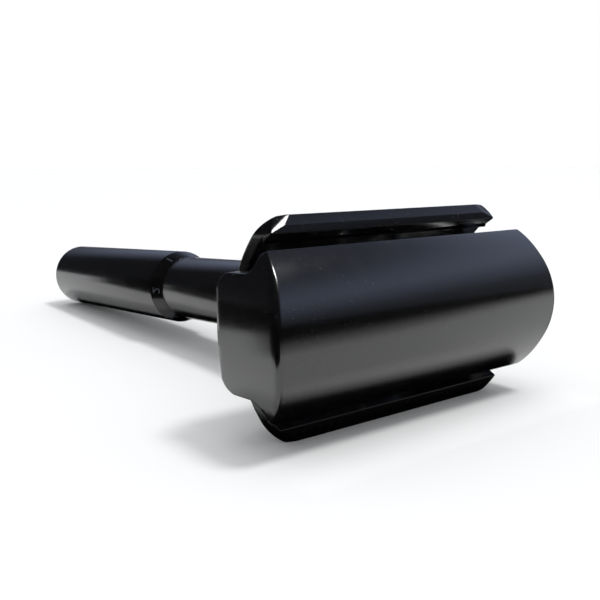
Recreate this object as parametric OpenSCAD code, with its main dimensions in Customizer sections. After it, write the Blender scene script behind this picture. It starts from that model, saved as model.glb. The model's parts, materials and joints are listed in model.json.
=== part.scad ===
// Adjustable double-edge safety razor with a clip-on cap.
// Lengths are millimetres. Every piece is drawn about the handle's axis with z rising
// towards the crown of the cap and z = 0 at the cap's cutting-edge chord, then laid down
// so that the handle runs along +Y and the head's long side along +X.

/* [Cap] */
// Width of the cap across its two long edges
cap_w = 19.0; // [18.6:0.1:19.4]
// Length of the cap measured at its corners
cap_l = 42.5; // [42.3:0.1:43.5]
// Height of the crown above the long edges
cap_rise = 4.68; // [4.5:0.02:4.9]
// How far each end bows outward at the middle
end_bow = 2.2; // [2.0:0.1:2.6]
// Depth of the end walls below the long edges
tongue_depth = 7.84; // [7.2:0.02:8.2]
// Half width of the end walls
tongue_half_w = 7.05; // [6.9:0.05:7.2]

/* [Guard] */
// Length of the guard
guard_l = 38.0; // [37.6:0.1:38.2]
// Overall width across the two smooth bars
guard_w = 26.4; // [25.6:0.1:26.6]
// Radius of the rounded corner at each end of a bar
bar_round = 2.4; // [1.5:0.1:3.0]

/* [Handle] */
// Diameter of the neck
neck_d = 11.0; // [10.8:0.1:11.2]
// Diameter of the grip
grip_d = 12.9; // [12.7:0.1:13.2]
// Distance from the cap's edges to the end of the neck
neck_end = 55.2; // [54:0.1:56]
// Distance from the cap's edges to the end of the grip
grip_end = 105.7; // [104:0.1:108]

/* [Hidden] */
$fn = 96;

black = [0.07, 0.07, 0.08];
steel = [0.72, 0.73, 0.75];
brass_tone = [0.78, 0.63, 0.33];
rubber_tone = [0.10, 0.10, 0.11];

// the origin sits on the handle's axis, half way along the neck
origin_depth = 32.0;

// cap
crown_r = (cap_w * cap_w / 4 + cap_rise * cap_rise) / (2 * cap_rise);
end_r = 21.6;
end_x = cap_l / 2 + end_bow;
edge_land = 0.3;
hollow_rise = 3.0;
hollow_half_w = cap_w / 2 - edge_land;
hollow_r = (hollow_half_w * hollow_half_w + hollow_rise * hollow_rise) / (2 * hollow_rise);
hollow_half_l = 19.6;
tab_half_l = 21.6;
tab_half_w = 6.3;
tongue_corner_r = 1.9;
flare_r = 2.1;
flare_y = 9.15;
flare_z = -3.0;

// blade bed
blade_gap = 0.15;
bed_half_w = 8.5;
bed_half_l = 18.9;
bed_tab_half_l = 20.7;
bed_tab_half_w = 6.0;
bed_bottom = -2.0;
lug_half_w = 4.0;
lug_inner_x = 16.5;
lug_bottom = -5.2;
post_x = 13;
post_r = 1.9;
post_top = 3.6;
post_play = 0.15;
post_chamfer = 0.3;
pin_root = -0.5;
guide_x = 12;
guide_r = 1.2;
screw_r = 1.0;
screw_end = -6.0;
screw_head_r = 2.4;
screw_head_seat = 1.6;
screw_head_t = 0.9;
screw_slot_z = 2.0;

// spring clips inside the cap's ends
clip_t = 0.3;
clip_half_w = 3.0;
clip_top = -0.3;
clip_hook = 1.1;
clip_gap = 0.12;
clip_lip_t = 0.6;
rivet_z = -1.5;
rivet_r = 0.6;
rivet_head_r = 1.1;
rivet_head_t = 0.35;
rivet_l = 1.3;

// guard
floor_bottom = -9.2;
floor_top = -7.6;
slope_out_y = guard_w / 2;
slope_out_z = -2.95;
ridge_y = 12.0;
ridge_z = -2.35;
slope_in_y = 11.1;
slope_in_z = -2.22;
lip_y = 10.35;
lip_z = -3.5;
ledge_y = 9.8;
ledge_z = -3.8;
facet_l = 2.0;
facet_lean = 36;
facet_dip = 14;
trough_y = -2.75;
trough_z = 6.6;
trough_r = norm([slope_out_y - trough_y, slope_out_z - trough_z]);
trough_wall = 1.6;

// spindle and the parts round it
spindle_r = 2.0;
run_play = 0.06;
spindle_end = -96;
bolt_r = 3.4;
bolt_flange_r = 5.0;
bolt_flange_t = 1.1;
bolt_end = -17;
slot_half_w = 0.5;
bolt_slot_depth = 0.5;
spring_bore_r = 3.9;
bush_top = -47;
bush_end = -52;
journal_r = 4.6;
journal_bore_r = 2.6;
journal_end = -81.5;
clip_groove_top = -40.0;
clip_groove_end = -41.0;
clip_groove_r = 1.6;
spring_clip_r = 3.5;
spring_clip_gap = 1.2;
spring_r = 3.05;
spring_wire_r = 0.4;
spring_turns = 9;
spring_ring_points = 8;
spring_steps = 16;

// grip
seam = 0.15;
bevel_end = -58.0;
collar_top = -neck_end - seam;
grip_r = grip_d / 2;
grip_chamfer = 0.6;
grip_bore_r = journal_r + run_play;
friction_groove_r = 3.8;
friction_groove_top = -61.4;
friction_groove_end = -63.0;
friction_wire_r = 0.42;
chamber_top = -79.0;
chamber_r = 5.4;
washer_t = 0.45;
ring_top = chamber_top - washer_t - 0.1;
ring_t = 0.9;
ring_groove_r = 4.1;
ring_gap = 1.5;
nut_top = -83.0;
nut_end = -90.0;
lock_end = -92.5;
lock_bore_r = 3.2;
lock_slot_depth = 0.8;
plug_top = -99.0;
dog_end = -82.6;
dog_angle = 40;
dog_inner_r = 3.3;
stop_r = 0.5;
stop_pin_end = -86;
stop_ring_r = 4.2;
stop_angle = -30;
far = 60;

// ---------- shared shapes ----------

// lays the upright design down so that the handle runs along +Y
module lay_down() translate([0, -origin_depth, 0]) rotate([90, 0, 0]) children();

// solid of revolution about the handle's axis between two depths
module rod(r, from_z, to_z) translate([0, 0, min(from_z, to_z)]) cylinder(r = r, h = abs(from_z - to_z));

module tube(r_out, r_in, from_z, to_z) difference() {
    rod(r_out, from_z, to_z);
    rod(r_in, min(from_z, to_z) - 1, max(from_z, to_z) + 1);
}

// sweeps a (y, z) outline along x, centred
module along_x(half_l) rotate([90, 0, 90]) translate([0, 0, -half_l])
    linear_extrude(2 * half_l) children();

// both ends of the head
module both_ends() {
    children();
    mirror([1, 0, 0]) children();
}

// a block between two corners
module block(low, high) translate(low) cube(high - low);

// ---------- cap ----------

// end view of the crown
module crown_outline() intersection() {
    translate([0, cap_rise - crown_r]) circle(r = crown_r, $fn = 240);
    translate([-cap_w / 2, 0]) square([cap_w, cap_rise + 1]);
}

// end view of the hollow-cut shoulders that join the crown to the end wall
module shoulder_outline() difference() {
    polygon([[-8, 1.5], [8, 1.5], [cap_w / 2, 0], [cap_w / 2 - 0.45, -0.95], [8.8, flare_z],
             [-8.8, flare_z], [0.45 - cap_w / 2, -0.95], [-cap_w / 2, 0]]);
    for (side = [-1, 1]) translate([side * flare_y, flare_z]) circle(r = flare_r);
}

// end wall with its two rounded lower corners
module tongue_outline() {
    half = tongue_half_w - tongue_corner_r;
    translate([-half, -tongue_depth]) square([2 * half, tongue_depth]);
    translate([-tongue_half_w, -tongue_depth + tongue_corner_r])
        square([2 * tongue_half_w, tongue_depth - tongue_corner_r - 2.5]);
    for (side = [-1, 1]) translate([side * half, -tongue_depth + tongue_corner_r])
        circle(r = tongue_corner_r);
}

// plan view of the cap with its bowed ends
module cap_plan() {
    for (side = [0, 1]) mirror([side, 0]) intersection() {
        translate([end_x - end_r, 0]) circle(r = end_r, $fn = 240);
        translate([0, -cap_w]) square([2 * end_x, 2 * cap_w]);
    }
}

// hollow under the crown that the blade and its bed lie in
module cap_hollow_outline() {
    translate([0, hollow_rise - hollow_r]) intersection() {
        circle(r = hollow_r, $fn = 240);
        translate([-hollow_half_w, 0]) square([2 * hollow_half_w, 2 * hollow_r]);
    }
    translate([-far / 2, -far]) square([far, far]);
}

module top_cap() color(black) lay_down() difference() {
    intersection() {
        union() {
            along_x(far) crown_outline();
            along_x(far) shoulder_outline();
            along_x(far) tongue_outline();
        }
        translate([0, 0, -far]) linear_extrude(2 * far) cap_plan();
    }
    along_x(hollow_half_l) cap_hollow_outline();
    intersection() {
        along_x(tab_half_l) cap_hollow_outline();
        block([-far, -tab_half_w, -far], [far, tab_half_w, far]);
    }
    for (side = [-1, 1]) translate([side * post_x, 0, 0])
        cylinder(r = post_r + post_play, h = post_top + post_play);
    both_ends() clip_rivet_hole();
}

module clip_rivet_hole() translate([tab_half_l - clip_t - 0.2, 0, rivet_z]) rotate([0, 90, 0])
    cylinder(r = rivet_r, h = rivet_l + 0.2);

// leaf with a hook that catches under the bed's lug
module cap_clips() color(steel) lay_down() both_ends() {
    difference() {
        block([tab_half_l - clip_t, -clip_half_w, lug_bottom - clip_gap - clip_lip_t],
              [tab_half_l, clip_half_w, clip_top]);
        clip_rivet_hole();
    }
    block([tab_half_l - clip_t - clip_hook, -clip_half_w, lug_bottom - clip_gap - clip_lip_t],
          [tab_half_l - clip_t, clip_half_w, lug_bottom - clip_gap]);
}

module clip_rivets() color(steel) lay_down() both_ends() {
    translate([tab_half_l - clip_t, 0, rivet_z]) rotate([0, 90, 0])
        cylinder(r = rivet_r, h = rivet_l);
    translate([tab_half_l - clip_t - rivet_head_t, 0, rivet_z]) rotate([0, 90, 0])
        cylinder(r = rivet_head_r, h = rivet_head_t);
}

// ---------- blade bed and what rises with it ----------

// end view of the bed, one blade gap under the cap's hollow
module bed_outline() intersection() {
    translate([0, hollow_rise - hollow_r]) circle(r = hollow_r - blade_gap, $fn = 240);
    polygon([[-bed_half_w, 4], [-bed_half_w, -0.9], [-bed_half_w + 1.1, bed_bottom],
             [bed_half_w - 1.1, bed_bottom], [bed_half_w, -0.9], [bed_half_w, 4]]);
}

module blade_bed() color(black) lay_down() difference() {
    union() {
        along_x(bed_half_l) bed_outline();
        intersection() {
            along_x(bed_tab_half_l) bed_outline();
            block([-far, -bed_tab_half_w, -far], [far, bed_tab_half_w, far]);
        }
        both_ends() block([lug_inner_x, -lug_half_w, lug_bottom],
                          [bed_tab_half_l, lug_half_w, bed_bottom + 0.5]);
    }
    for (side = [-1, 1]) {
        translate([side * post_x, 0, 0]) rod(post_r, pin_root, 6);
        translate([side * guide_x, 0, 0]) rod(guide_r, -6, pin_root);
    }
    rod(spindle_r, -6, 0.2);
    rod(screw_r, 0, 6);
    rod(screw_head_r, screw_head_seat, 6);
}

module blade_posts() color(steel) lay_down() for (side = [-1, 1])
    translate([side * post_x, 0, 0]) {
        rod(post_r, pin_root, post_top - post_chamfer);
        translate([0, 0, post_top - post_chamfer])
            cylinder(r1 = post_r, r2 = post_r - post_chamfer, h = post_chamfer);
    }

module bed_screw() color(steel) lay_down() difference() {
    union() {
        rod(screw_head_r, screw_head_seat, screw_head_seat + screw_head_t);
        rod(screw_r, screw_end, screw_head_seat);
    }
    block([-3, -0.3, screw_slot_z], [3, 0.3, 3]);
}

module guide_pins() color(steel) lay_down() for (side = [-1, 1])
    translate([side * guide_x, 0, 0]) rod(guide_r, floor_bottom + 0.1, pin_root);

module spindle() color(steel) lay_down() difference() {
    rod(spindle_r, spindle_end, 0.2);
    rod(screw_r, screw_end, 1);
    tube(3, clip_groove_r, clip_groove_end, clip_groove_top);
}

// open clip snapped into the spindle's groove as the spring's seat
module spring_clip() color(steel) lay_down() difference() {
    tube(spring_clip_r, clip_groove_r, clip_groove_end, clip_groove_top);
    block([0, -spring_clip_gap, clip_groove_end - 1], [5, spring_clip_gap, clip_groove_top + 1]);
}

// ---------- guard and neck ----------

// half of the trough's end view, from the bar down to the floor
module guard_half_outline() difference() {
    intersection() {
        polygon([[-0.5, floor_bottom], [slope_out_y, floor_bottom], [slope_out_y, slope_out_z],
                 [ridge_y, ridge_z], [slope_in_y, slope_in_z], [lip_y, lip_z],
                 [ledge_y, ledge_z], [-0.5, ledge_z]]);
        trough_arc(trough_r);
    }
    intersection() {
        trough_arc(trough_r - trough_wall);
        translate([-1, floor_top]) square([far, ledge_z - floor_top]);
    }
    translate([-1, floor_top]) square([5, far]);
}

// big arc that shapes one side of the trough
module trough_arc(r) translate([trough_y, trough_z]) circle(r = r, $fn = 240);

module guard_outline() {
    guard_half_outline();
    mirror([1, 0]) guard_half_outline();
}

// plan view of the guard with the ends of its bars rounded
module guard_plan() {
    x = guard_l / 2 - bar_round;
    y = guard_w / 2 + 0.02 - bar_round;
    square([2 * x, 2 * (y + bar_round)], center = true);
    square([2 * (x + bar_round), 2 * y], center = true);
    for (i = [-1, 1], j = [-1, 1]) translate([i * x, j * y]) circle(r = bar_round);
}

// shallow facet ground across the top of each bar's ends
module end_facet() translate([guard_l / 2 - facet_l, ridge_y, ridge_z])
    rotate([-facet_lean, facet_dip, 0]) translate([-10, -10, 0]) cube(20);

module safety_guard() color(black) lay_down() difference() {
    intersection() {
        along_x(far) guard_outline();
        translate([0, 0, -far]) linear_extrude(2 * far) guard_plan();
    }
    rod(bolt_r, -20, 0);
    for (side = [-1, 1]) translate([side * guide_x, 0, 0]) rod(guide_r + run_play, -20, 0);
    for (i = [0, 1], j = [0, 1]) mirror([i, 0, 0]) mirror([0, j, 0]) end_facet();
}

// hollow bolt that clamps the guard to the neck
module neck_bolt() color(steel) lay_down() difference() {
    union() {
        rod(bolt_flange_r, floor_top, floor_top + bolt_flange_t);
        rod(bolt_r, bolt_end, floor_top);
    }
    rod(spindle_r + run_play, -30, 0);
    block([-6, -slot_half_w, floor_top + bolt_flange_t - bolt_slot_depth], [6, slot_half_w, 0]);
}

module neck_tube() color(black) lay_down() difference() {
    union() {
        rod(neck_d / 2, -neck_end, floor_bottom);
        rod(journal_r, journal_end, -neck_end);
        stop_dog();
    }
    rod(bolt_r, bolt_end, 0);
    rod(spring_bore_r, bush_end, bolt_end);
    rod(journal_bore_r, -90, bush_end);
    tube(6, friction_groove_r, friction_groove_end, friction_groove_top);
    tube(6, ring_groove_r, ring_top - ring_t, ring_top);
}

// sector at the end of the journal that the stop pin runs against
module stop_dog() intersection() {
    tube(journal_r, dog_inner_r, dog_end, journal_end + 0.5);
    translate([0, 0, dog_end]) linear_extrude(2)
        polygon([[0, 0], [far, -far * tan(dog_angle / 2)], [far, far * tan(dog_angle / 2)]]);
}

module spindle_bush() color(brass_tone) lay_down()
    tube(spring_bore_r, spindle_r + run_play, bush_end, bush_top);

module friction_ring() color(rubber_tone) lay_down()
    translate([0, 0, (friction_groove_top + friction_groove_end) / 2])
        rotate_extrude() translate([friction_groove_r + friction_wire_r, 0])
            circle(r = friction_wire_r, $fn = 32);

module thrust_washer() color(steel) lay_down()
    tube(chamber_r - 0.1, grip_bore_r, chamber_top - washer_t, chamber_top - 0.02);

module retaining_ring() color(steel) lay_down() difference() {
    tube(chamber_r - 0.15, ring_groove_r, ring_top - ring_t, ring_top);
    block([-6, -ring_gap, ring_top - 2], [0, ring_gap, ring_top + 1]);
}

// a round wire swept along a helix
function helix_point(t, top, length) =
    [spring_r * cos(360 * spring_turns * t), spring_r * sin(360 * spring_turns * t), top - length * t];

module return_spring() color(steel) lay_down() {
    top = bolt_end - spring_wire_r;
    length = bolt_end - clip_groove_top - 2 * spring_wire_r;
    n = spring_turns * spring_steps;
    m = spring_ring_points;
    points = [for (i = [0 : n]) let (c = helix_point(i / n, top, length), turn = 360 * spring_turns * i / n)
              for (j = [0 : m - 1]) let (a = 360 * j / m)
              [c[0] + spring_wire_r * cos(a) * cos(turn), c[1] + spring_wire_r * cos(a) * sin(turn),
               c[2] + spring_wire_r * sin(a)]];
    sides = [for (i = [0 : n - 1], j = [0 : m - 1])
             [i * m + j, i * m + (j + 1) % m, (i + 1) * m + (j + 1) % m, (i + 1) * m + j]];
    first = [for (j = [0 : m - 1]) m - 1 - j];
    last = [for (j = [0 : m - 1]) n * m + j];
    polyhedron(points, concat(sides, [first, last]), convexity = 10);
}

// ---------- grip, which turns to set the gap ----------

module grip_sleeve() color(black) lay_down() difference() {
    union() {
        rod(grip_r, -grip_end + grip_chamfer, bevel_end);
        translate([0, 0, -grip_end]) cylinder(r1 = grip_r - grip_chamfer, r2 = grip_r, h = grip_chamfer);
    }
    rod(grip_bore_r, -80, -50);
    rod(chamber_r, -grip_end - 1, chamber_top);
}

// bevelled ring that carries the setting numbers
module index_collar() color(black) lay_down() difference() {
    translate([0, 0, bevel_end])
        cylinder(r1 = grip_r, r2 = neck_d / 2, h = collar_top - bevel_end);
    rod(grip_bore_r, -70, -50);
}

// where the stop pin stands round the axis
module at_stop() rotate([0, 0, stop_angle]) translate([stop_ring_r, 0, 0]) children();

module adjuster_nut() color(brass_tone) lay_down() difference() {
    tube(chamber_r, spindle_r + run_play, nut_end, nut_top);
    at_stop() rod(stop_r, stop_pin_end, nut_top + 1);
}

module stop_pin() color(steel) lay_down() at_stop() rod(stop_r, stop_pin_end, nut_top + 1);

module lock_ring() color(brass_tone) lay_down() difference() {
    tube(chamber_r, lock_bore_r, lock_end, nut_end);
    block([-7, -slot_half_w, lock_end - 1], [7, slot_half_w, lock_end + lock_slot_depth]);
}

module end_plug() color(black) lay_down() rod(chamber_r, -grip_end, plug_top);

top_cap();
cap_clips();
clip_rivets();
blade_bed();
blade_posts();
bed_screw();
guide_pins();
spindle();
spring_clip();
safety_guard();
neck_bolt();
neck_tube();
spindle_bush();
friction_ring();
thrust_washer();
retaining_ring();
return_spring();
grip_sleeve();
index_collar();
adjuster_nut();
stop_pin();
lock_ring();
end_plug();
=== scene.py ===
"""Looks of an adjustable safety razor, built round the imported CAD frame.

The frame is in metres: X runs along the head, +Y towards the end of the grip and +Z across
the head. The pieces below are written as the CAD is, in millimetres, upright about the
handle's axis, with z rising towards the crown of the cap; at() carries them into the frame.
"""

import json
import math

import bmesh
import bpy
from mathutils import Matrix, Vector
from mathutils.geometry import delaunay_2d_cdt


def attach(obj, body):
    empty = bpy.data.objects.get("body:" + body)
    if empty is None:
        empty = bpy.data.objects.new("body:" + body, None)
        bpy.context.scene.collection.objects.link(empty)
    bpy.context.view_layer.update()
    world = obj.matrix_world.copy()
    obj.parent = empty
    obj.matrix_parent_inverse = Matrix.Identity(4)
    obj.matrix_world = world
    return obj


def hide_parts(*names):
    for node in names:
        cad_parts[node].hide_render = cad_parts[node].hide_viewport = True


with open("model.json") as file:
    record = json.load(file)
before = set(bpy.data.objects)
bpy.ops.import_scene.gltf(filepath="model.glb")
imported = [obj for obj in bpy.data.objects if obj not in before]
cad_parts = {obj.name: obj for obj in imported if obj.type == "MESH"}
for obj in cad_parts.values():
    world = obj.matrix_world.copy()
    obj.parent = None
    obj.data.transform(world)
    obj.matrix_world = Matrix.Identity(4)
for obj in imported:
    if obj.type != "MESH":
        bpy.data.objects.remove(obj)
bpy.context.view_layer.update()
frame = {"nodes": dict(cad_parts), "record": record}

MM = 0.001
# the frame's origin is half way along the neck, this far below the cap's edges
ORIGIN_DEPTH = 32.0


def at(x, y, z):
    """A point of the upright design, in the frame."""
    return Vector((x, -z - ORIGIN_DEPTH, y)) * MM


# ---------- camera ----------

# the camera looks at the left end of the head and along the handle
CAMERA_FORWARD = Vector((0.5991, 0.7907, -0.1262))
CAMERA_RIGHT = Vector((0.7931, -0.6077, -0.0421))
CAMERA_AT = Vector((-67.9, -99.1, 14.5)) * MM
LENS_MM = 46.28
SENSOR_MM = 36.0


def make_camera():
    data = bpy.data.cameras.new("camera")
    data.lens = LENS_MM
    data.sensor_width = SENSOR_MM
    data.clip_start = 0.005
    camera = bpy.data.objects.new("camera", data)
    bpy.context.collection.objects.link(camera)
    forward = CAMERA_FORWARD.normalized()
    right = (CAMERA_RIGHT - forward * CAMERA_RIGHT.dot(forward)).normalized()
    turn = Matrix((right, right.cross(forward), -forward)).transposed().to_4x4()
    camera.matrix_world = Matrix.Translation(CAMERA_AT) @ turn
    bpy.context.scene.camera = camera


# ---------- materials ----------


class Finish:
    """A material and short names for building its node tree."""

    def __init__(self, name, color, metallic, roughness):
        self.material = bpy.data.materials.new(name)
        self.material.use_nodes = True
        self.tree = self.material.node_tree
        self.shader = self.tree.nodes["Principled BSDF"]
        self.set("Base Color", (*color, 1))
        self.set("Metallic", metallic)
        self.set("Roughness", roughness)
        self.place = self.add("ShaderNodeTexCoord").outputs["Object"]

    def set(self, socket, value):
        self.shader.inputs[socket].default_value = value

    def drive(self, socket, output):
        self.tree.links.new(output, self.shader.inputs[socket])

    def add(self, kind, **inputs):
        node = self.tree.nodes.new(kind)
        for name, value in inputs.items():
            socket = node.inputs[name.replace("_", " ")]
            if isinstance(value, bpy.types.NodeSocket):
                self.tree.links.new(value, socket)
            else:
                socket.default_value = value
        return node

    def noise(self, scale, detail=3.0, stretch=(1, 1, 1)):
        place = self.add("ShaderNodeMapping", Vector=self.place, Scale=stretch)
        return self.add(
            "ShaderNodeTexNoise", Vector=place.outputs[0], Scale=scale, Detail=detail
        ).outputs[0]

    def remap(self, value, low, high, to_low, to_high):
        return self.add(
            "ShaderNodeMapRange",
            Value=value, From_Min=low, From_Max=high, To_Min=to_low, To_Max=to_high,
        ).outputs[0]

    def blend(self, amount, low, high):
        mix = self.add("ShaderNodeMix")
        mix.data_type = "RGBA"
        sockets = {s.identifier: s for s in mix.inputs}
        self.tree.links.new(amount, sockets["Factor_Float"])
        for name, value in (("A_Color", low), ("B_Color", high)):
            if isinstance(value, bpy.types.NodeSocket):
                self.tree.links.new(value, sockets[name])
            else:
                sockets[name].default_value = (*value, 1)
        return [s for s in mix.outputs if s.identifier == "Result_Color"][0]

    def bump(self, height, strength, distance):
        return self.add(
            "ShaderNodeBump", Height=height, Strength=strength, Distance=distance
        ).outputs[0]


# most of a noise's values lie between these
NOISE_LOW, NOISE_HIGH = 0.3, 0.7
# noise scales are in cells per metre, so 1000 is a millimetre
GLOSS_DRIFT_SCALE = 260
DUST_SCALE = 4600
DUST_FROM, DUST_FULL = 0.72, 0.79
COATING_GRAIN_SCALE = 5500
FINE_BUMP = 0.01 * MM
COATING_BLACK = (0.002, 0.002, 0.002)
DUST_GREY = (0.06, 0.062, 0.065)


def satin_black(name, gloss):
    """Black satin coating: a fine grain, gloss that drifts a little, and sparse dust."""
    finish = Finish(name, (0.003, 0.003, 0.003), 0.0, 0.17)
    finish.set("Specular IOR Level", gloss)
    drift = finish.noise(GLOSS_DRIFT_SCALE, 5)
    finish.drive("Roughness", finish.remap(drift, NOISE_LOW, NOISE_HIGH, 0.15, 0.2))
    dust = finish.remap(finish.noise(DUST_SCALE, 1), DUST_FROM, DUST_FULL, 0, 1)
    finish.drive("Base Color", finish.blend(dust, COATING_BLACK, DUST_GREY))
    grain = finish.noise(COATING_GRAIN_SCALE, 3)
    finish.drive("Normal", finish.bump(grain, 0.45, FINE_BUMP))
    return finish.material


TURNING_SCALE = 1200
# noise squeezed along the handle's axis and stretched across it turns into rings
TURNING_STRETCH = (0.15, 6, 0.15)
STAIN_SCALE = 150
STAIN_SHADE = 0.8


def turned_metal(name, color, roughness):
    """Bare turned metal with fine rings round the handle's axis."""
    finish = Finish(name, color, 1.0, roughness)
    rings = finish.noise(TURNING_SCALE, 2, TURNING_STRETCH)
    spread = (roughness - 0.06, roughness + 0.1)
    finish.drive("Roughness", finish.remap(rings, NOISE_LOW, NOISE_HIGH, *spread))
    finish.drive("Normal", finish.bump(rings, 0.3, FINE_BUMP))
    stain = finish.noise(STAIN_SCALE, 4)
    stained = tuple(STAIN_SHADE * c for c in color)
    finish.drive("Base Color", finish.blend(stain, stained, color))
    return finish.material


RUBBER_SKIN_SCALE = 4000
ETCHING_SCALE = 2600


def rubber():
    """Matt black rubber with a fine skin."""
    finish = Finish("seal_rubber", (0.02, 0.02, 0.022), 0.0, 0.6)
    skin = finish.noise(RUBBER_SKIN_SCALE, 3)
    finish.drive("Roughness", finish.remap(skin, NOISE_LOW, NOISE_HIGH, 0.5, 0.7))
    finish.drive("Normal", finish.bump(skin, 0.25, 2 * FINE_BUMP))
    return finish.material


def etched():
    """Where a number is etched through the coating to dull metal."""
    finish = Finish("etched", (0.05, 0.055, 0.065), 0.6, 0.42)
    wear = finish.noise(ETCHING_SCALE, 4)
    finish.drive("Base Color", finish.blend(wear, (0.03, 0.033, 0.04), (0.16, 0.175, 0.2)))
    finish.drive("Normal", finish.bump(wear, 0.5, FINE_BUMP))
    return finish.material


# ---------- outlines ----------

CORNER_STEPS = 4
# a corner's rounding takes up at most this share of each edge beside it
LONGEST_REACH = 0.45


def arc(center, radius, start, end, steps):
    """Points on a circle from one angle to another, in degrees."""
    for i in range(steps + 1):
        a = math.radians(start + (end - start) * i / steps)
        yield (center[0] + radius * math.cos(a), center[1] + radius * math.sin(a))


def softened(corners):
    """Rounds the corners of a closed outline. Each corner is a point and its radius."""
    outline = []
    for i, (y, z, radius) in enumerate(corners):
        here = Vector((y, z))
        back = Vector(corners[i - 1][:2]) - here
        ahead = Vector(corners[(i + 1) % len(corners)][:2]) - here
        if radius == 0 or back.length == 0 or ahead.length == 0:
            outline.append(here)
            continue
        half = back.angle(ahead) / 2
        longest = LONGEST_REACH * min(back.length, ahead.length)
        reach = min(radius / math.tan(half), longest)
        start = here + back.normalized() * reach
        end = here + ahead.normalized() * reach
        for step in range(CORNER_STEPS + 1):
            t = step / CORNER_STEPS
            outline.append(start * (1 - t) ** 2 + here * 2 * t * (1 - t) + end * t * t)
    return outline


def inward_normals(outline):
    """Directions that inset a counter-clockwise outline by one unit."""
    normals = []
    for i, here in enumerate(outline):
        back = (here - outline[i - 1]).normalized()
        ahead = (outline[(i + 1) % len(outline)] - here).normalized()
        mean = Vector((-back.y - ahead.y, back.x + ahead.x))
        normals.append(mean * 2 / mean.length_squared)
    return normals


def smooth_mix(value, low, high):
    """Goes smoothly from 0 to 1 as a value goes from low to high."""
    t = min(max((value - low) / (high - low), 0), 1)
    return t * t * (3 - 2 * t)


# ---------- mesh pieces ----------

SHARP_ANGLE = math.radians(32)
# points closer than this, in metres, are one point
SAME_POINT = 1e-6


def new_piece(name, shape):
    """Turns a bmesh into an object, smooth except at its real corners."""
    bmesh.ops.remove_doubles(shape, verts=shape.verts, dist=SAME_POINT)
    bmesh.ops.recalc_face_normals(shape, faces=shape.faces)
    mesh = bpy.data.meshes.new(name)
    shape.to_mesh(mesh)
    shape.free()
    piece = bpy.data.objects.new(name, mesh)
    bpy.context.collection.objects.link(piece)
    smooth(piece)
    return piece


def smooth(piece):
    """Shades a piece smoothly except across its sharp edges."""
    piece.data.polygons.foreach_set("use_smooth", [True] * len(piece.data.polygons))
    piece.data.set_sharp_from_angle(angle=SHARP_ANGLE)


def cut(piece, *cutters):
    """Takes the cutters out of a piece."""
    for cutter in cutters:
        modifier = piece.modifiers.new("cut", "BOOLEAN")
        modifier.object = cutter
        modifier.operation = "DIFFERENCE"
        modifier.solver = "EXACT"
    ready = piece.evaluated_get(bpy.context.evaluated_depsgraph_get())
    mesh = bpy.data.meshes.new_from_object(ready)
    mesh.name = piece.name
    piece.modifiers.clear()
    piece.data = mesh
    for cutter in cutters:
        bpy.data.objects.remove(cutter)
    smooth(piece)


# the triangulation's mode that leaves out what is outside the outline, and its tolerance in mm
KEEP_INSIDE = 1
FILL_TOLERANCE = 1e-5


def fill(outline, spacing):
    """Fills an outline with triangles, on an even grid of points so that they shade smoothly.

    Returns the points, which are the outline's first, and the triangles' point numbers.
    """
    low_y, high_y = min(p.x for p in outline), max(p.x for p in outline)
    low_z, high_z = min(p.y for p in outline), max(p.y for p in outline)
    points = list(outline)
    for i in range(1, int((high_y - low_y) / spacing)):
        for j in range(1, int((high_z - low_z) / spacing)):
            points.append(Vector((low_y + i * spacing, low_z + j * spacing)))
    loop = list(range(len(outline)))
    edges = list(zip(loop, loop[1:] + loop[:1]))
    result = delaunay_2d_cdt(points, edges, [loop], KEEP_INSIDE, FILL_TOLERANCE)
    return result[0], result[2]


ROLL_STEPS = 5


def prism(name, outline, end_at, roll, spacing):
    """Sweeps an outline along x between two shaped ends, with the ends' edges rolled over.

    end_at(y) is half the length at y, and roll(y, z) the radius of the edge there.
    """
    shape = bmesh.new()
    normals = inward_normals(outline)
    for side in (-1, 1):
        rings = []
        for step in range(ROLL_STEPS + 1):
            angle = math.radians(90) * step / ROLL_STEPS
            ring = []
            for point, normal in zip(outline, normals):
                radius = roll(point.x, point.y)
                inset = point + normal * radius * (1 - math.cos(angle))
                x = end_at(inset.x) - radius * (1 - math.sin(angle))
                ring.append((side * x, inset))
            rings.append(ring)
        bands = [[shape.verts.new(at(x, p.x, p.y)) for x, p in ring] for ring in rings]
        middle = [shape.verts.new(at(0, p.x, p.y)) for p in outline]
        for first, second in zip([middle] + bands, bands):
            for i in range(len(outline)):
                j = (i + 1) % len(outline)
                shape.faces.new((first[i], first[j], second[j], second[i]))
        points, faces = fill([p for x, p in rings[-1]], spacing)
        verts = [shape.verts.new(at(side * end_at(p.x), p.x, p.y)) for p in points]
        for face in faces:
            shape.faces.new([verts[i] for i in face])
    return new_piece(name, shape)


TURN_STEPS = 144


def lathe(name, profile):
    """Turns a closed (radius, z) profile round the handle's axis."""
    shape = bmesh.new()
    rings = []
    for step in range(TURN_STEPS):
        a = math.radians(360) * step / TURN_STEPS
        rings.append([shape.verts.new(at(r * math.cos(a), r * math.sin(a), z)) for r, z in profile])
    for step in range(TURN_STEPS):
        here, there = rings[step], rings[(step + 1) % TURN_STEPS]
        for i in range(len(profile)):
            j = (i + 1) % len(profile)
            shape.faces.new((here[i], here[j], there[j], there[i]))
    bmesh.ops.dissolve_degenerate(shape, dist=SAME_POINT / 10, edges=shape.edges)
    return new_piece(name, shape)


# ---------- cap ----------

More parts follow.
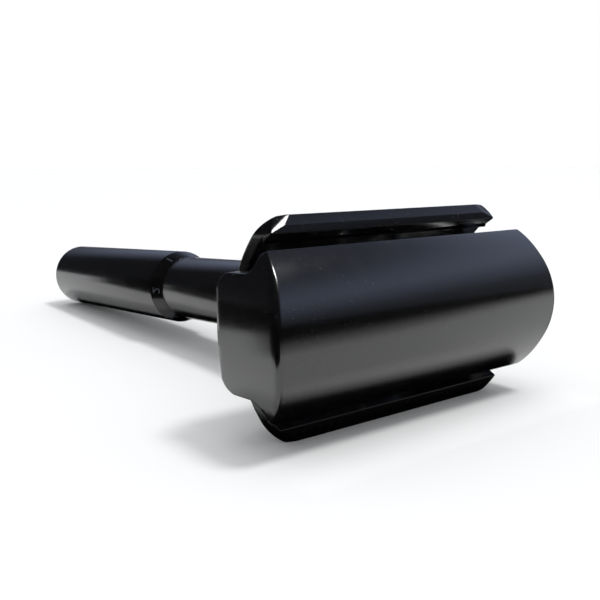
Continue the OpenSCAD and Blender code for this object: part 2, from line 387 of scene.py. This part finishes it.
CAP_HALF_W = 9.5
CAP_RISE = 4.68
CROWN_R = (CAP_HALF_W**2 + CAP_RISE**2) / (2 * CAP_RISE)
CROWN_CENTER = (0, CAP_RISE - CROWN_R)
CROWN_STEPS = 60
CURVE_STEPS = 10
END_X = 23.6
END_R = 21.6
SHOULDER = (9.05, -0.9)
FLARE_CENTER = (9.15, -3.0)
FLARE_R = 2.1
TONGUE_HALF_W = 7.05
TONGUE_CORNER_R = 1.9
TONGUE_BOTTOM = -7.84
CUTTING_EDGE_R = 0.12
# radii of the rolled edge of the cap's ends, which thins out towards the cutting edges
CROWN_ROLL = 0.75
CROWN_ROLL_AT_EDGE = 0.3
CROWN_ROLL_THINS_FROM = 6.0
TONGUE_ROLL = 0.18
# a point lower than the first, and further from the crown than the second, is on the tongue
TONGUE_BELOW = 0.3
TONGUE_CLEAR = 0.2
HOLLOW_HALF_W = 9.2
HOLLOW_RISE = 3.0
HOLLOW_R = (HOLLOW_HALF_W**2 + HOLLOW_RISE**2) / (2 * HOLLOW_RISE)
HOLLOW_CENTER = (0, HOLLOW_RISE - HOLLOW_R)
HOLLOW_STEPS = 48
HOLLOW_HALF_L = 19.6
TAB_HALF_L = 21.6
TAB_HALF_W = 6.3
POST_X = 13
POST_HOLE_R = 2.05
POST_HOLE_TOP = 3.75
# how far below the cap its hollows reach, and a half width past its sides
HOLLOW_DEPTH = 60
HOLLOW_PAST_SIDES = 15
# spacing of the points inside flat ends
CAP_SPACING = 0.6
GUARD_SPACING = 0.4


def cap_outline():
    """End view of the cap, counter-clockwise from the right cutting edge."""
    edge_angle = math.degrees(math.asin(-CROWN_CENTER[1] / CROWN_R))
    crown = list(arc(CROWN_CENTER, CROWN_R, edge_angle, 180 - edge_angle, CROWN_STEPS))
    flare_end = math.degrees(math.acos((SHOULDER[0] - FLARE_CENTER[0]) / FLARE_R))
    flare = list(arc(FLARE_CENTER, FLARE_R, flare_end, 180, CURVE_STEPS))
    corner_center = (TONGUE_HALF_W - TONGUE_CORNER_R, TONGUE_BOTTOM + TONGUE_CORNER_R)
    corner = list(arc(corner_center, TONGUE_CORNER_R, 0, -90, CURVE_STEPS))
    lower_right = flare + corner
    corners = [(y, z, 0) for y, z in crown[1:-1]]
    corners += [(-CAP_HALF_W, 0, CUTTING_EDGE_R), (-SHOULDER[0], SHOULDER[1], 0)]
    corners += [(-y, z, 0) for y, z in lower_right[1:]]
    corners += [(y, z, 0) for y, z in reversed(lower_right[1:])]
    corners += [(SHOULDER[0], SHOULDER[1], 0), (CAP_HALF_W, 0, CUTTING_EDGE_R)]
    return softened(corners)


def cap_end(y):
    """Half the cap's length at y, where its ends bow outwards."""
    return END_X - END_R + math.sqrt(END_R**2 - y * y)


def cap_roll(y, z):
    """The radius of the rolled edge of the cap's ends at a point of its outline."""
    crown_z = CROWN_CENTER[1] + math.sqrt(CROWN_R**2 - y * y)
    if abs(z - crown_z) > TONGUE_CLEAR and z < TONGUE_BELOW:
        return TONGUE_ROLL
    fade = smooth_mix(abs(y), CROWN_ROLL_THINS_FROM, CAP_HALF_W)
    return CROWN_ROLL + (CROWN_ROLL_AT_EDGE - CROWN_ROLL) * fade


def hollow(name, half_l, half_w):
    """What is taken out from under the crown, within a half length and a half width."""
    edge = min(half_w, HOLLOW_HALF_W)
    lift = math.degrees(math.acos(edge / HOLLOW_R))
    top = list(arc(HOLLOW_CENTER, HOLLOW_R, lift, 180 - lift, HOLLOW_STEPS))
    drop = top[0][1] if half_w < HOLLOW_HALF_W else 0
    bottom = -HOLLOW_DEPTH
    sides = [(-half_w, drop), (-half_w, bottom), (half_w, bottom), (half_w, drop)]
    outline = [Vector(p) for p in top + sides]
    shape = bmesh.new()
    ends = [[shape.verts.new(at(x, p.x, p.y)) for p in outline] for x in (-half_l, half_l)]
    for i in range(len(outline)):
        j = (i + 1) % len(outline)
        shape.faces.new((ends[0][i], ends[0][j], ends[1][j], ends[1][i]))
    for end in ends:
        shape.faces.new(end)
    return new_piece(name, shape)


def drill(name, x, radius, bottom, top):
    """A round cutter parallel to the handle's axis, off to one side by x."""
    hole = lathe(name, [(0, bottom), (radius, bottom), (radius, top), (0, top)])
    hole.data.transform(Matrix.Translation(Vector((x, 0, 0)) * MM))
    return hole


def make_cap():
    piece = prism("cap_finished", cap_outline(), cap_end, cap_roll, CAP_SPACING)
    cut(
        piece,
        hollow("long_hollow", HOLLOW_HALF_L, HOLLOW_PAST_SIDES),
        hollow("tab_hollow", TAB_HALF_L, TAB_HALF_W),
        drill("post_hole", -POST_X, POST_HOLE_R, 0, POST_HOLE_TOP),
        drill("post_hole", POST_X, POST_HOLE_R, 0, POST_HOLE_TOP),
    )
    return piece


# ---------- guard ----------

FLOOR_BOTTOM = -9.2
FLOOR_TOP = -7.6
BAR_OUTER = (13.2, -2.95)
BAR_RIDGE = (12.0, -2.35)
BAR_INNER = (11.1, -2.22)
BAR_LIP = (10.35, -3.5)
BAR_LEDGE = (9.8, -3.8)
TROUGH_CENTER = (-2.75, 6.6)
TROUGH_R = math.hypot(BAR_OUTER[0] - TROUGH_CENTER[0], BAR_OUTER[1] - TROUGH_CENTER[1])
TROUGH_WALL = 1.6
OUTER_STEPS = 24
INNER_STEPS = 18
GUARD_HALF_L = 19.0
# the curve of the ends starts from a width a little past the bars' outer edges
GUARD_HALF_W = BAR_OUTER[0] + 0.02
BAR_ROUND = 2.4
GUARD_ROLL = 0.12
FACET_L = 2.0
FACET_LEAN = math.radians(36)
FACET_DIP = math.radians(14)
# a face whose normal agrees with a facet's this well, as a cosine, is part of the facet
FACET_MATCH = 0.9998
FACET_RIM_ANGLE = math.radians(50)
GUIDE_X = 12
GUIDE_HOLE_R = 1.26
BOLT_HOLE_R = 3.4
# the cutters for the holes reach past both faces of the floor
DRILL_BOTTOM = -12
DRILL_TOP = -6


def guard_outline():
    """End view of the trough with its two bars, counter-clockwise from the floor's middle."""

    def wall(radius, from_z, to_z, steps):
        start, end = (
            math.degrees(math.asin((z - TROUGH_CENTER[1]) / radius)) for z in (from_z, to_z)
        )
        return list(arc(TROUGH_CENTER, radius, start, end, steps))

    outer_arc = wall(TROUGH_R, FLOOR_BOTTOM, BAR_OUTER[1], OUTER_STEPS)
    inner_arc = wall(TROUGH_R - TROUGH_WALL, BAR_LEDGE[1], FLOOR_TOP, INNER_STEPS)
    right = [(*outer_arc[0], 0.3)]
    right += [(y, z, 0) for y, z in outer_arc[1:-1]]
    right += [(*BAR_OUTER, 0.22), (*BAR_RIDGE, 0.3), (*BAR_INNER, 0.12), (*BAR_LIP, 0.1)]
    right += [(*BAR_LEDGE, 0.1), (*inner_arc[0], 0)]
    right += [(y, z, 0) for y, z in inner_arc[1:]]
    left = [(-y, z, r) for y, z, r in reversed(right)]
    return softened(right + left)


def guard_end(y):
    """Half the guard's length at y, where the bars' ends are rounded."""
    past = abs(y) - (GUARD_HALF_W - BAR_ROUND)
    if past <= 0:
        return GUARD_HALF_L
    return GUARD_HALF_L - BAR_ROUND + math.sqrt(max(BAR_ROUND**2 - past * past, 0))


def guard_roll(y, z):
    return GUARD_ROLL


def make_guard():
    piece = prism("guard_finished", guard_outline(), guard_end, guard_roll, GUARD_SPACING)
    shape = bmesh.new()
    shape.from_mesh(piece.data)
    lean = Matrix.Rotation(FACET_DIP, 3, "Y") @ Matrix.Rotation(-FACET_LEAN, 3, "X")
    up = lean @ Vector((0, 0, 1))
    facets = []
    for side_x in (-1, 1):
        for side_y in (-1, 1):
            normal = (at(side_x * up.x, side_y * up.y, up.z) - at(0, 0, 0)).normalized()
            facets.append(normal)
            point = at(side_x * (GUARD_HALF_L - FACET_L), side_y * BAR_RIDGE[0], BAR_RIDGE[1])
            cutting = bmesh.ops.bisect_plane(
                shape, geom=shape.verts[:] + shape.edges[:] + shape.faces[:],
                plane_co=point, plane_no=normal, clear_outer=True,
            )
            rim = [e for e in cutting["geom_cut"] if isinstance(e, bmesh.types.BMEdge)]
            bmesh.ops.contextual_create(shape, geom=rim)
    shape.to_mesh(piece.data)
    shape.free()
    cut(
        piece,
        drill("bolt_hole", 0, BOLT_HOLE_R, DRILL_BOTTOM, DRILL_TOP),
        drill("guide_hole", -GUIDE_X, GUIDE_HOLE_R, DRILL_BOTTOM, DRILL_TOP),
        drill("guide_hole", GUIDE_X, GUIDE_HOLE_R, DRILL_BOTTOM, DRILL_TOP),
    )
    sharpen_facets(piece, facets)
    return piece


def sharpen_facets(piece, facets):
    """Makes flat facets crisp against the bar's top and soft towards its outer rim."""
    shape = bmesh.new()
    shape.from_mesh(piece.data)
    for edge in shape.edges:
        on_facet = [any(f.normal.dot(n) > FACET_MATCH for n in facets) for f in edge.link_faces]
        if any(on_facet) and not all(on_facet):
            edge.smooth = edge.calc_face_angle() > FACET_RIM_ANGLE
    shape.to_mesh(piece.data)
    shape.free()


# ---------- handle ----------

NECK_R = 5.5
NECK_END = -55.2
JOURNAL_R = 4.6
JOURNAL_END = -81.5
BUSH_END = -52.0
NECK_BOLT_R = 3.4
NECK_BOLT_END = -17
SPRING_BORE_R = 3.9
JOURNAL_BORE_R = 2.6
SEAM = 0.15
BEVEL_END = -58.0
GRIP_R = 6.45
GRIP_END = -105.7
GRIP_BORE_R = 4.66
GRIP_CHAMFER = 0.6
CHAMBER_R = 5.4
PLUG_GAP = 0.03
CHAMBER_TOP = -79.0
PLUG_TOP = -99.0


def turned(name, corners):
    """A turned piece from the corners of its profile, each a radius, a z and a rounding."""
    return lathe(name, [tuple(p) for p in softened(corners)])


def make_neck():
    return turned("neck_finished", [
        (NECK_BOLT_R, FLOOR_BOTTOM, 0), (NECK_R, FLOOR_BOTTOM, 0.15), (NECK_R, NECK_END, 0.12),
        (JOURNAL_R, NECK_END, 0), (JOURNAL_R, JOURNAL_END, 0.2),
        (JOURNAL_BORE_R, JOURNAL_END, 0.1), (JOURNAL_BORE_R, BUSH_END, 0),
        (SPRING_BORE_R, BUSH_END, 0), (SPRING_BORE_R, NECK_BOLT_END, 0),
        (NECK_BOLT_R, NECK_BOLT_END, 0),
    ])


def make_collar():
    return turned("collar_finished", [
        (GRIP_BORE_R, NECK_END - SEAM, 0), (NECK_R, NECK_END - SEAM, 0.08),
        (GRIP_R, BEVEL_END, 0), (GRIP_BORE_R, BEVEL_END, 0),
    ])


def make_sleeve():
    return turned("grip_finished", [
        (GRIP_BORE_R, BEVEL_END, 0), (GRIP_R, BEVEL_END, 0.12),
        (GRIP_R, GRIP_END + GRIP_CHAMFER, 0.35), (GRIP_R - GRIP_CHAMFER, GRIP_END, 0.2),
        (CHAMBER_R, GRIP_END, 0.06), (CHAMBER_R, CHAMBER_TOP, 0), (GRIP_BORE_R, CHAMBER_TOP, 0),
    ])


def make_plug():
    plug_r = CHAMBER_R - PLUG_GAP
    return turned("plug_finished", [
        (0, PLUG_TOP, 0), (plug_r, PLUG_TOP, 0), (plug_r, GRIP_END, 0.12), (0, GRIP_END, 0),
    ])


# ---------- setting numbers ----------

NUMBERS = 6
NUMBER_HEIGHT = 1.7
NUMBER_LIFT = 0.02
NUMBER_SLICES = 10
FIRST_NUMBER_ANGLE = math.radians(30)


def make_number(value):
    """An etched number wrapped round the bevel, its foot towards the grip."""
    text = bpy.data.curves.new("number", "FONT")
    text.body = str(value)
    text.align_x = "CENTER"
    holder = bpy.data.objects.new("number_text", text)
    bpy.context.collection.objects.link(holder)
    ready = holder.evaluated_get(bpy.context.evaluated_depsgraph_get())
    flat = bpy.data.meshes.new_from_object(ready)
    bpy.data.objects.remove(holder)
    shape = bmesh.new()
    shape.from_mesh(flat)
    bpy.data.meshes.remove(flat)
    xs = [v.co.x for v in shape.verts]
    ys = [v.co.y for v in shape.verts]
    scale = NUMBER_HEIGHT / (max(ys) - min(ys))
    for vert in shape.verts:
        vert.co = Vector((vert.co.x, vert.co.y - (max(ys) + min(ys)) / 2, 0)) * scale
    width = (max(xs) - min(xs)) * scale
    for i in range(1, NUMBER_SLICES):
        bmesh.ops.bisect_plane(
            shape, geom=shape.verts[:] + shape.edges[:] + shape.faces[:],
            plane_co=(width * (i / NUMBER_SLICES - 0.5), 0, 0), plane_no=(1, 0, 0),
        )
    slope = math.atan2(GRIP_R - NECK_R, NECK_END - SEAM - BEVEL_END)
    middle_r = (GRIP_R + NECK_R) / 2
    middle_z = (NECK_END - SEAM + BEVEL_END) / 2
    turn = FIRST_NUMBER_ANGLE + math.radians(360) * (value - 1) / NUMBERS
    for vert in shape.verts:
        radius = middle_r - vert.co.y * math.sin(slope) + NUMBER_LIFT
        angle = turn - vert.co.x / middle_r
        z = middle_z + vert.co.y * math.cos(slope)
        vert.co = at(-radius * math.sin(angle), radius * math.cos(angle), z)
    return new_piece("number_%d" % value, shape)


# ---------- floor and light ----------

# the razor lies on its lower bar and on the end of its grip
GUARD_REST = Vector((0, -29.0, -13.12)) * MM
GRIP_REST = Vector((0, 73.2, -6.45)) * MM
FLOOR_HALF = 3.0
# painted reflections: upright cards that only reflections see, glowing white like the floor low
# down and black as painted shade higher up:
# the line each stands on, in millimetres, and the two heights between which the floor's white fades
# to black
PAINTED_REFLECTION_CARDS = (
    (((-96, 140), (-96, 60), (-47, 0), (-41, -56), (-47, -70)), (-30, -29)),
    (((-47, -70), (32, -78), (120, -106), (240, -130)), (-17, -2)),
    (((-19, 25), (-35, 110)), (-30, -29)),
    (((43, -40), (43, -17)), (-30, -29)),
    (((-84, 28), (-54, 56)), (-30, -29)),
)
CARD_LIFT = 0.03
PAINTED_CARD_LOW = -30
PAINTED_CARD_HIGH = 8
# painted shadow: flat cards that only reflections see, black for the deep shadow right under the
# head and the handle and glowing like the floor past it:
# their sides in x and y, the two y between which white fades to black, and how far that fade is
# turned
PAINTED_SHADOW_CARDS = (((-24, 26.5), (-42, -16)), ((-3.5, 3.5), (-16, 72)))
PAINTED_SHADOW_FADE = (-38.3, -34.3)
PAINTED_SHADOW_TURN = math.radians(-3)
DOME = 0.74


def make_floor():
    shape = bmesh.new()
    bmesh.ops.create_grid(shape, x_segments=1, y_segments=1, size=FLOOR_HALF)
    floor = new_piece("floor", shape)
    slope = GRIP_REST - GUARD_REST
    floor.rotation_euler.x = math.atan2(slope.z, slope.y)
    floor.location = GUARD_REST
    finish = Finish("floor", (0.86, 0.86, 0.86), 0.0, 0.7)
    finish.set("Specular IOR Level", 0.2)
    finish.drive("Normal", finish.bump(finish.noise(400, 3), 0.05, 0.1 * MM))
    floor.data.materials.append(finish.material)


def card_finish(name, axis, fade, turn=0.0):
    """Painted reflection: glows like the floor at one end of a fade along an axis, and is black
    past the other as painted shade.
    """
    card = Finish(name, (0.0, 0.0, 0.0), 0.0, 1.0)
    card.set("Specular IOR Level", 0.0)
    card.set("Emission Color", (1, 1, 1, 1))
    place = card.add("ShaderNodeMapping", Vector=card.place, Rotation=(0, 0, turn)).outputs[0]
    along = card.add("ShaderNodeSeparateXYZ", Vector=place).outputs[axis]
    card.drive("Emission Strength", card.remap(along, fade[0] * MM, fade[1] * MM, 1, 0))
    return card.material


# painted reflections and painted shadow: glowing and black cards that only reflections see
def make_flags():
    for i, (line, fade) in enumerate(PAINTED_REFLECTION_CARDS):
        shape = bmesh.new()
        for start, end in zip(line, line[1:]):
            feet, heads = ([(*p, z) for p in (start, end)] for z in (PAINTED_CARD_LOW, PAINTED_CARD_HIGH))
            corners = feet + heads[::-1]
            shape.faces.new([shape.verts.new(Vector(c) * MM) for c in corners])
        name = "flag_%d" % i
        only_reflected(new_piece(name, shape), card_finish(name, "Z", fade))
    # painted shadow under the head and the handle, seen only in reflections
    shape = bmesh.new()
    for (x0, x1), (y0, y1) in PAINTED_SHADOW_CARDS:
        corners = ((x0, y0), (x1, y0), (x1, y1), (x0, y1))
        shape.faces.new([shape.verts.new(on_floor(x, y)) for x, y in corners])
    shade = card_finish("painted_shadow", "Y", PAINTED_SHADOW_FADE, PAINTED_SHADOW_TURN)
    only_reflected(new_piece("painted_shadow", shape), shade)


def on_floor(x, y):
    """The point a hair above the floor at a place in millimetres."""
    slope = GRIP_REST - GUARD_REST
    z = GUARD_REST.z + (y * MM - GUARD_REST.y) * slope.z / slope.y
    return Vector((x * MM, y * MM, z + CARD_LIFT * MM))


def only_reflected(card, material):
    """Stages a card that neither the camera nor the soft light meets."""
    card.data.materials.append(material)
    card.visible_camera = card.visible_diffuse = card.visible_shadow = False


class Studio(Finish):
    """The surroundings' node tree, with the same short names."""

    def __init__(self):
        self.world = bpy.data.worlds.new("studio")
        self.world.use_nodes = True
        self.tree = self.world.node_tree
        self.place = self.add("ShaderNodeTexCoord").outputs["Generated"]


# what reflections see towards the window, from the horizon up, by the direction's z
WINDOW = (
    (0.0, (0.09, 0.09, 0.1)),
    (0.18, (0.11, 0.12, 0.155)),
    (0.46, (0.48, 0.55, 0.77)),
    (0.58, (0.4, 0.46, 0.65)),
    (0.76, (0.14, 0.16, 0.22)),
    (1.0, (0.15, 0.17, 0.22)),
)
# the direction's x between which the dark room gives way to the window
WINDOW_FROM, WINDOW_FULL = -0.05, 0.44
ROOM_COLOR = (0.022, 0.023, 0.03)
DOME_COLOR = (0.97, 0.985, 1.0)


def make_world():
    """The camera sees white, surfaces are lit by a dome, and reflections see a room."""
    studio = Studio()
    split = studio.add("ShaderNodeSeparateXYZ", Vector=studio.place)
    ramp = studio.add("ShaderNodeValToRGB", Fac=split.outputs["Z"])
    stops = ramp.color_ramp.elements
    for stop, (position, color) in zip(stops, (WINDOW[0], WINDOW[-1])):
        stop.position, stop.color = position, (*color, 1)
    for position, color in WINDOW[1:-1]:
        stops.new(position).color = (*color, 1)
    window = studio.remap(split.outputs["X"], WINDOW_FROM, WINDOW_FULL, 0, 1)
    color = studio.blend(window, ROOM_COLOR, ramp.outputs["Color"])
    mirrored = studio.tree.nodes["Background"]
    studio.tree.links.new(color, mirrored.inputs["Color"])
    white = studio.add("ShaderNodeBackground", Color=(1, 1, 1, 1), Strength=1.0)
    dome = studio.add("ShaderNodeBackground", Color=(*DOME_COLOR, 1), Strength=DOME)
    path = studio.add("ShaderNodeLightPath")
    seen = studio.add("ShaderNodeMixShader", Fac=path.outputs["Is Camera Ray"])
    whole = studio.add("ShaderNodeMixShader", Fac=path.outputs["Is Glossy Ray"])
    for output, socket in (
        (dome.outputs[0], seen.inputs[1]), (white.outputs[0], seen.inputs[2]),
        (seen.outputs[0], whole.inputs[1]), (mirrored.outputs[0], whole.inputs[2]),
        (whole.outputs[0], studio.tree.nodes["World Output"].inputs["Surface"]),
    ):
        studio.tree.links.new(output, socket)
    bpy.context.scene.world = studio.world


# direction the light comes from, power, size in degrees, and whether reflections see it
LIGHTS = {
    "fill": (Vector((0.0, -0.1, 1.0)), 0.5, 40, False),
    "key": (Vector((0.24, -0.36, 0.90)), 1.3, 12, True),
}


def make_lights():
    for name, (source, power, size, reflected) in LIGHTS.items():
        data = bpy.data.lights.new(name, "SUN")
        data.energy = power
        data.angle = math.radians(size)
        light = bpy.data.objects.new(name, data)
        light.rotation_euler = (-source).to_track_quat("-Z", "Y").to_euler()
        light.visible_glossy = reflected
        bpy.context.collection.objects.link(light)


# ---------- assembly ----------

make_camera()

finishes = {
    "black_satin": satin_black("black_satin", 0.95),
    "dull_satin": satin_black("dull_satin", 0.5),
    "plain_steel": turned_metal("plain_steel", (0.6, 0.61, 0.63), 0.28),
    "spring_steel": turned_metal("spring_steel", (0.48, 0.49, 0.52), 0.22),
    "bush_brass": turned_metal("bush_brass", (0.72, 0.52, 0.2), 0.25),
    "seal_rubber": rubber(),
}
for part in frame["record"]["subparts"]:
    mesh = frame["nodes"][part["node"]].data
    mesh.materials.clear()
    mesh.materials.append(finishes[part["material_slot"]])

# finished pieces, the CAD nodes they replace, the bodies they ride on and their materials
for make, node, body, coat in (
    (make_cap, "top_cap", "cap", "black_satin"),
    (make_guard, "safety_guard", "neck", "dull_satin"),
    (make_neck, "neck_tube", "neck", "black_satin"),
    (make_collar, "index_collar", "grip", "dull_satin"),
    (make_sleeve, "grip_sleeve", "grip", "black_satin"),
    (make_plug, "end_plug", "grip", "black_satin"),
):
    piece = make()
    piece.data.materials.append(finishes[coat])
    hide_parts(node)
    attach(piece, body)

number_finish = etched()
for value in range(1, NUMBERS + 1):
    number = make_number(value)
    number.data.materials.append(number_finish)
    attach(number, "grip")

make_floor()
make_flags()
make_world()
make_lights()
bpy.context.scene.view_settings.view_transform = "Standard"
